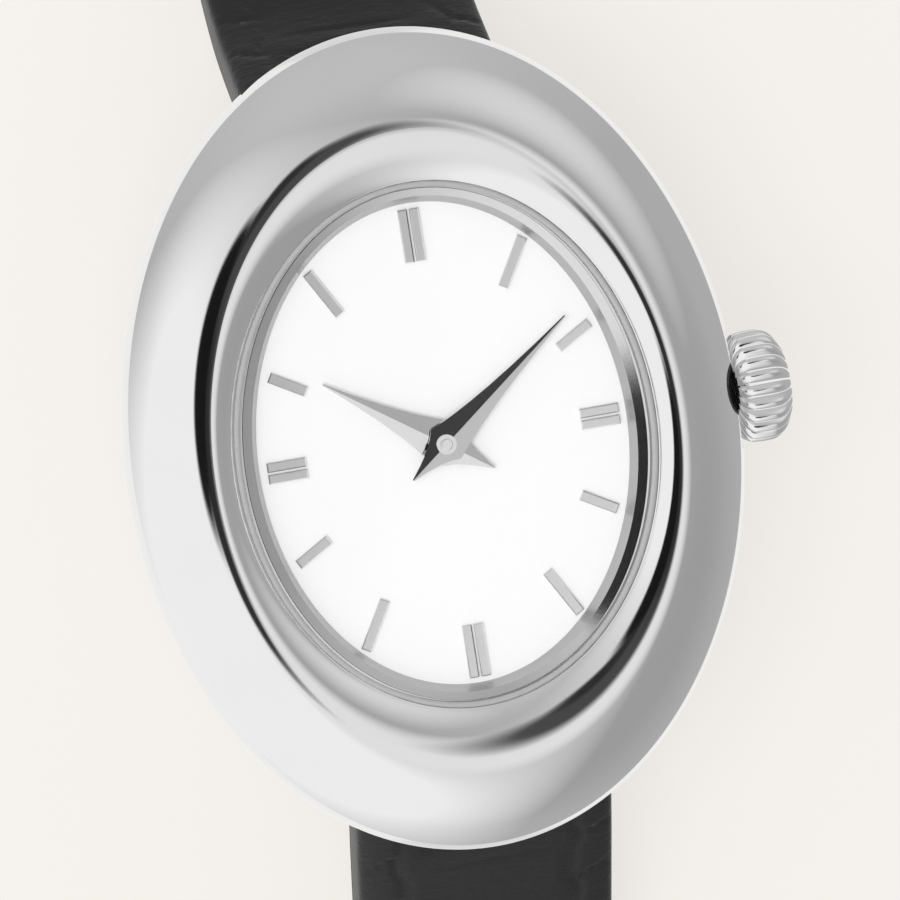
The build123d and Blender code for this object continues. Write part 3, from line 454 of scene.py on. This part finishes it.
# %% Tongue holes and the slot for the tongue
first_hole, hole_pitch, hole_r, slot_x, slot_y = 24.0, 6.0, 0.8, 0.95, 2.5
hole_places = [long_end + first_hole + hole_pitch * k for k in range(7)]
slot_corners = [(-1, -1), (1, -1), (1, 1), (-1, 1)]
slot_outline = [(i * slot_x, short_end + j * slot_y) for i, j in slot_corners]
for layer in ("leather", "lining"):
    drills = [prism("drill", circle_points(0, y, hole_r, 32), -12, 0, axes=(0, 1, 2)) for y in hole_places]
    strap_pieces["long_" + layer] = cut_away(strap_pieces["long_" + layer], drills, 50)
    slot_cutter = prism("slot_cutter", slot_outline, -12, 0, axes=(0, 1, 2))
    strap_pieces["short_" + layer] = cut_away(strap_pieces["short_" + layer], [slot_cutter], 50)
for name, piece in strap_pieces.items():
    side, layer = name.split("_")
    piece.visible_glossy = False
    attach(piece, side + "_strap")
    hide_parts(side + "_strap_" + layer)
    "strap_leather" if layer == "leather" else "lining_leather"

# %% [markdown]
# ## Shader maths as plain sums
# Node trees are easier to read as expressions. This class wraps one socket, and adding or
# multiplying it adds the Math node that does so.

# %% Shader maths
class Value:
    """One output socket of a tree, with the signs + - * / standing for Math nodes."""

    def __init__(self, tree, socket):
        self.tree, self.socket = tree, socket

    def math(self, operation, other):
        inputs = [self, other]
        return self.tree.node("ShaderNodeMath", {"operation": operation}, inputs)[0]

    def __add__(self, other):
        return self.math("ADD", other)

    def __sub__(self, other):
        return self.math("SUBTRACT", other)

    def __rsub__(self, other):
        return (self * -1) + other

    def __mul__(self, other):
        return self.math("MULTIPLY", other)

    def __truediv__(self, other):
        return self.math("DIVIDE", other)

    __radd__, __rmul__ = __add__, __mul__

    def clamped(self):
        return self.math("MINIMUM", 1.0).math("MAXIMUM", 0.0)


class Tree:
    """A material's or the world's node tree, with one method that adds any node."""

    def __init__(self, owner):
        owner.use_nodes = True
        self.nodes, self.links = owner.node_tree.nodes, owner.node_tree.links
        self.nodes.clear()

    def node(self, kind, settings=None, inputs=None):
        """Add a node, set its settings, then its sockets by position or name. Returns its outputs."""
        made = self.nodes.new(kind)
        for key, value in (settings or {}).items():
            setattr(made, key, value)
        pairs = enumerate(inputs) if isinstance(inputs, (list, tuple)) else (inputs or {}).items()
        for key, value in pairs:
            if isinstance(value, Value):
                self.links.new(value.socket, made.inputs[key])
            else:
                made.inputs[key].default_value = value
        return [Value(self, socket) for socket in made.outputs]

    def output(self, shader, world=False):
        kind = "ShaderNodeOutputWorld" if world else "ShaderNodeOutputMaterial"
        made = self.nodes.new(kind)
        self.links.new(shader.socket, made.inputs["Surface"])

    def place(self, scale=1.0, stretch=(1, 1, 1)):
        """Object coordinates, in millimetres times the scale."""
        where = self.node("ShaderNodeTexCoord")[3]
        size = tuple(1000.0 * scale * s for s in stretch)
        return self.node("ShaderNodeMapping", None, {"Vector": where, "Scale": size})[0]

    def noise(self, vector, scale, detail=2.0, roughness=0.5):
        inputs = {"Vector": vector, "Scale": scale, "Detail": detail, "Roughness": roughness}
        return self.node("ShaderNodeTexNoise", None, inputs)[0]

    def mix_colour(self, share, first, second):
        """The first colour where the share is 0 and the second where it is 1."""
        first, second = (v if isinstance(v, Value) else (*v, 1.0) for v in (first, second))
        return self.node("ShaderNodeMix", {"data_type": "RGBA"}, {0: share, 6: first, 7: second})[2]

    def bump(self, height, strength, distance, under=None):
        inputs = {"Height": height, "Strength": strength, "Distance": distance * mm}
        if under is not None:
            inputs["Normal"] = under
        return self.node("ShaderNodeBump", None, inputs)[0]

    def surface(self, colour, rough, metal=0.0, normal=None, **fixed):
        inputs = {"Base Color": colour if isinstance(colour, Value) else (*colour, 1.0)}
        inputs.update({"Roughness": rough, "Metallic": metal})
        if normal is not None:
            inputs["Normal"] = normal
        inputs.update({key.replace("_", " "): value for key, value in fixed.items()})
        return self.node("ShaderNodeBsdfPrincipled", None, inputs)[0]


def new_finish(name):
    material = bpy.data.materials.new(name)
    return material, Tree(material)


def apply_finish(material, *names):
    for name in names:
        piece = bpy.data.objects.get(name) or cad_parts[name]
        piece.data.materials.clear()
        piece.data.materials.append(material)


# %% [markdown]
# ## Metals
# The case is polished steel with a faint haze. Real polish isn't perfect: fine hairlines
# and cloudy patches change how sharp the reflections are. A noise drawn out along one
# direction gives the hairlines, and a broad one gives the cloudiness.

# %% Polished and turned metals
def metal_finish(name, tint, rough, haze=0.03, grain=(1, 1, 1), grain_strength=0.02, grain_scale=9.0):
    material, tree = new_finish(name)
    cloud = tree.noise(tree.place(0.25), 1.0, 3.0)
    lines = tree.noise(tree.place(grain_scale, grain), 1.0, 2.0)
    shade = tree.mix_colour((cloud * 0.5 + lines * 0.2).clamped(), tint, tuple(v * 0.93 for v in tint))
    bump = tree.bump(lines, grain_strength, 0.02)
    tree.output(tree.surface(shade, (cloud - 0.5) * haze + (lines - 0.5) * haze + rough, 1.0, bump))
    return material


case_polish = metal_finish("case_polish", (0.88, 0.88, 0.882), 0.055, 0.02, grain_strength=0.004)
crown_polish = metal_finish("crown_polish", (0.9, 0.9, 0.902), 0.07, 0.03, grain_strength=0.005)
rehaut_satin = metal_finish("rehaut_satin", (0.5, 0.5, 0.503), 0.3, 0.04)
facet_polish = metal_finish("facet_polish", (0.8, 0.8, 0.803), 0.08, 0.02)
back_brushed = metal_finish(
    "back_brushed", (0.74, 0.74, 0.75), 0.3, 0.08, grain=(0.06, 1, 1), grain_strength=0.12)
turned_steel = metal_finish("turned_steel", (0.7, 0.7, 0.71), 0.22, 0.06, grain=(1, 0.1, 1))
marker_polish = metal_finish("marker_polish", (0.93, 0.93, 0.93), 0.16, 0.04, grain=(1, 1, 0.2))
hand_polish = metal_finish("hand_polish", (0.92, 0.92, 0.925), 0.06, 0.015)
brass = metal_finish("brass", (0.76, 0.58, 0.28), 0.28, 0.08)
plate_gilt = metal_finish("plate_gilt", (0.7, 0.63, 0.46), 0.38, 0.1, grain=(1, 0.08, 1), grain_strength=0.1)
blued_steel = metal_finish("blued_steel", (0.3, 0.34, 0.42), 0.2, 0.05)
copper_wire = metal_finish(
    "copper_wire", (0.7, 0.32, 0.15), 0.32, 0.08, grain=(0.2, 6, 0.2), grain_strength=0.4)
apply_finish(case_polish, "case_shell", "bezel_collar")
for horn in horns:
    apply_finish(case_polish, horn.name)
apply_finish(crown_polish, "fluted_crown")
apply_finish(rehaut_satin, "rehaut")
rehaut.data.materials.append(facet_polish)
for face in rehaut.data.polygons:
    face.material_index = int(face.normal.z > cos(radians(30)))
apply_finish(back_brushed, "case_back")
apply_finish(turned_steel, "spring_bar_top", "spring_bar_bottom", "buckle_bar", "stem", "crown_tube")
apply_finish(turned_steel, "stator", "sliding_pinion", "setting_lever", "lever_post")
apply_finish(turned_steel, "battery_clamp", "battery")
apply_finish(marker_polish, "double_hour_markers", "single_hour_markers")
apply_finish(hand_polish, "minute_hand", "hour_hand")
apply_finish(brass, "cannon_pinion", "minute_wheel", "hour_wheel")
apply_finish(plate_gilt, "main_plate", "train_bridge")
apply_finish(blued_steel, "bridge_screws")
apply_finish(copper_wire, "coil")
apply_finish(case_polish, "buckle_frame", "buckle_tongue")

# With the strap out of reflections, the pieces at its end would show alone in the rim
for name in ("buckle_frame", "buckle_tongue", "buckle_bar", "fixed_keeper", "sliding_keeper"):
    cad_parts[name].visible_glossy = False

# %% [markdown]
# ## Dial, glass and plastics
# The dial is matt white lacquer with the finest grain. The crystal is clear: light passes
# straight through it, and its outer face mirrors a little, more at a low angle. Bending
# the light would be truer, but then the lamp couldn't light the dial through it. The
# gasket is grey speckled plastic.

# %% Dial lacquer
dial_lacquer, tree = new_finish("dial_lacquer")
grain = tree.noise(tree.place(6.0), 1.0, 2.0)
tone = tree.mix_colour(grain, (0.88, 0.88, 0.88), (0.9, 0.9, 0.9))
tree.output(tree.surface(tone, grain * 0.1 + 0.45, 0.0, tree.bump(grain, 0.03, 0.01)))
apply_finish(dial_lacquer, "dial")

# %% Crystal glass
clear_glass, tree = new_finish("clear_glass")
clear = tree.node("ShaderNodeBsdfTransparent", None, {"Color": (0.985, 0.985, 0.985, 1.0)})[0]
gleam = tree.node("ShaderNodeBsdfGlossy", None, {"Color": (1, 1, 1, 1), "Roughness": 0.02})[0]
bounce = tree.node("ShaderNodeFresnel", None, {"IOR": 1.3})[0]
from_inside = tree.node("ShaderNodeNewGeometry")[6]
tree.output(tree.node("ShaderNodeMixShader", None, [bounce * (1 - from_inside), clear, gleam])[0])
apply_finish(clear_glass, "crystal_dome")

# %% Plastics and rubber
def plastic_finish(name, colour, rough, scale=3.0, strength=0.05):
    material, tree = new_finish(name)
    speckle = tree.noise(tree.place(scale), 1.0, 3.0)
    tone = tree.mix_colour(speckle, colour, tuple(v * 0.85 for v in colour))
    tree.output(tree.surface(tone, speckle * 0.15 + rough, 0.0, tree.bump(speckle, strength, 0.02)))
    return material


apply_finish(plastic_finish("gasket_grey", (0.42, 0.42, 0.42), 0.3, 5.0, 0.2), "gasket_ring")
apply_finish(plastic_finish("seal_black", (0.03, 0.03, 0.03), 0.5), "case_back_gasket", "crown_gasket")
apply_finish(plastic_finish("spacer_white", (0.7, 0.7, 0.66), 0.45), "movement_ring")
apply_finish(plastic_finish("board_green", (0.03, 0.14, 0.06), 0.4), "circuit_board")

# %% [markdown]
# ## Leather
# The upper leather is black, glazed and stamped, and the surface carries pores and short
# wrinkles. The lining is plain dark calf.

# %% Leathers
def leather_finish(name, colour, rough, pore, wrinkle, coat):
    material, tree = new_finish(name)
    pores = tree.node("ShaderNodeTexVoronoi", None, {"Vector": tree.place(3.2), "Scale": 1.0})[0]
    creases = tree.noise(tree.place(1.1, (1, 3.5, 3.5)), 1.0, 4.0, 0.6)
    blotch = tree.noise(tree.place(0.35), 1.0, 2.0)
    tone = tree.mix_colour(blotch, colour, tuple(v * 1.7 for v in colour))
    normal = tree.bump(pores, pore, 0.03, under=tree.bump(creases, wrinkle, 0.12))
    gloss = dict(Coat_Weight=coat, Coat_Roughness=0.12, Specular_IOR_Level=0.36)
    tree.output(tree.surface(tone, blotch * 0.14 + rough, 0.0, normal, **gloss))
    return material


glazed_leather = leather_finish("glazed_leather", (0.007, 0.007, 0.007), 0.36, 0.25, 0.45, 0.06)
lining_leather = leather_finish("lining_calf", (0.07, 0.05, 0.04), 0.6, 0.35, 0.3, 0.0)
apply_finish(glazed_leather, "short_leather", "long_leather", "fixed_keeper", "sliding_keeper")
apply_finish(lining_leather, "short_lining", "long_lining")

# %% [markdown]
# ## Floor, light and camera
# The watch lies on pale paper. A world that is bright low on the left and greyer
# elsewhere shapes the polished metal, as soft boxes do in a studio. The patches were
# placed by trial until the reflections looked like the photo's, so they are a likeness of
# its light and not a survey of it. Below the horizon the metal would mirror the paper with
# a hard line, so a ring on the floor, seen only in reflections, carries the sky on down.

# %% The light round the watch
# Compass angle from +X and zenith angle of each patch, its radius and softness in degrees,
# and its brightness. Later patches lie over earlier ones.
sky_base = 0.46
sky_patches = (
    (320, 55, 35, 40, 0.38),
    (95, 75, 45, 50, 0.58),
    (38, 50, 16, 30, 0.75),
    (212, 62, 62, 30, 0.97),
    (312, 12, 12, 10, 0.85),
    (20, 3, 8, 4, 0.07),
    (260, 7, 6, 3, 0.03),
    (174, 11.6, 10, 3, 0.01),
    (89, 6.6, 4, 3, 0.03),
)


def studio_level(tree, toward):
    """Brightness of the studio in a direction: soft patches blended over a middle grey.

    Inside a patch's radius the level becomes the patch's own, and it fades at its edge.
    """
    level = sky_base
    for compass, zenith, radius, softness, brightness in sky_patches:
        compass, zenith = radians(compass), radians(zenith)
        middle = (sin(zenith) * cos(compass), sin(zenith) * sin(compass), cos(zenith))
        agreement = tree.node("ShaderNodeVectorMath", {"operation": "DOT_PRODUCT"}, [toward, middle])[1]
        inside = cos(radians(max(radius - softness / 2, 0)))
        outside = cos(radians(radius + softness / 2))
        mask = ((agreement - outside) / (inside - outside)).clamped()
        level = level * (1 - mask) + mask * brightness
    return level


# %% World
world = bpy.data.worlds.new("studio")
bpy.context.scene.world = world
tree = Tree(world)
sky = studio_level(tree, tree.node("ShaderNodeTexCoord")[0])
tree.output(tree.node("ShaderNodeBackground", None, {"Color": (1, 1, 1, 1), "Strength": sky})[0], world=True)

# %% Floor
paper_colour = (0.914, 0.888, 0.847)
floor_z = cad_box[0][2] / mm - 0.02
half = 4000.0
floor_grid = np.array([[[x * half, y * half, floor_z] for x in (-1, 1)] for y in (-1, 1)])
floor = piece_from_mesh("floor", mesh_from_grid("floor", floor_grid, loop_columns=False, close_ends=False))
paper, tree = new_finish("paper")
path = tree.node("ShaderNodeLightPath")
seen = (path[0] + path[3] + path[5]).clamped()
diffuse = tree.node("ShaderNodeBsdfDiffuse", None, {"Color": (*paper_colour, 1.0)})[0]
tone = tree.mix_colour(path[3], paper_colour, (0.98, 0.98, 0.98))
glow = tree.node("ShaderNodeEmission", None, {"Color": tone, "Strength": 0.959})[0]
tree.output(tree.node("ShaderNodeMixShader", None, [seen * 0.8, diffuse, glow])[0])
apply_finish(paper, "floor")

# %% Reflector ring on the floor
card_start, card_z = 27.0, floor_z + 0.05
card_rings = [(r, 1.2 * r, card_z) for r in (card_start, half)]
card_mesh = mesh_from_grid("reflector", oval_stack(card_rings), close_ends=False)
reflector = piece_from_mesh("reflector", card_mesh)
reflector.visible_camera = reflector.visible_diffuse = False
reflector.visible_shadow = reflector.visible_transmission = False
reflector_card, tree = new_finish("reflector_card")
place = tree.node("ShaderNodeTexCoord")[3]
outward = tree.node("ShaderNodeVectorMath", {"operation": "NORMALIZE"}, [place])[0]
level = studio_level(tree, outward)
tree.output(tree.node("ShaderNodeEmission", None, {"Color": (1, 1, 1, 1), "Strength": level})[0])
apply_finish(reflector_card, "reflector")

# %% Lamps
def soft_lamp(name, place, size, power):
    """A round area lamp that shines on the origin from a place in metres."""
    lamp = bpy.data.lights.new(name, "AREA")
    lamp.shape, lamp.size, lamp.energy = "DISK", size, power
    holder = bpy.data.objects.new(name, lamp)
    bpy.context.scene.collection.objects.link(holder)
    holder.location = place
    holder.rotation_euler = Vector(place).to_track_quat("Z", "Y").to_euler()
    holder.visible_glossy = False
    print(name, "shines with", power, "watts")


soft_lamp("key_lamp", (-0.2, 0.0, 0.6), 0.35, 2.4)

# %% Camera
toward_camera = np.array([-0.1714, 0.1042, 0.0])
toward_camera[2] = np.sqrt(1 - toward_camera @ toward_camera)
noon = np.array([0.0, 1.0, 0.0])
level_up = noon - (noon @ toward_camera) * toward_camera
level_up /= np.linalg.norm(level_up)
level_right = np.cross(level_up, toward_camera)
roll = radians(-8.872)
right = cos(roll) * level_right + sin(roll) * level_up
up = -sin(roll) * level_right + cos(roll) * level_up
distance, image_px, px_per_mm = 384.4, 900, 22.9
dial_middle_px = (444.78, 443.82)
aim = np.array([0, 0, dial_top + 0.3])
aim += right * (image_px / 2 - dial_middle_px[0]) / px_per_mm
aim -= up * (image_px / 2 - dial_middle_px[1]) / px_per_mm
camera_data = bpy.data.cameras.new("camera")
camera_data.sensor_width = 36.0
camera_data.lens = px_per_mm * distance / image_px * camera_data.sensor_width
camera_data.clip_start, camera_data.clip_end = 0.01, 20.0
camera = bpy.data.objects.new("camera", camera_data)
bpy.context.scene.collection.objects.link(camera)
placement = np.eye(4)
placement[:3, 0], placement[:3, 1], placement[:3, 2] = right, up, toward_camera
placement[:3, 3] = (aim + toward_camera * distance) * mm
camera.matrix_world = Matrix(placement.tolist())
bpy.context.scene.camera = camera
bpy.context.scene.view_settings.view_transform = "Standard"
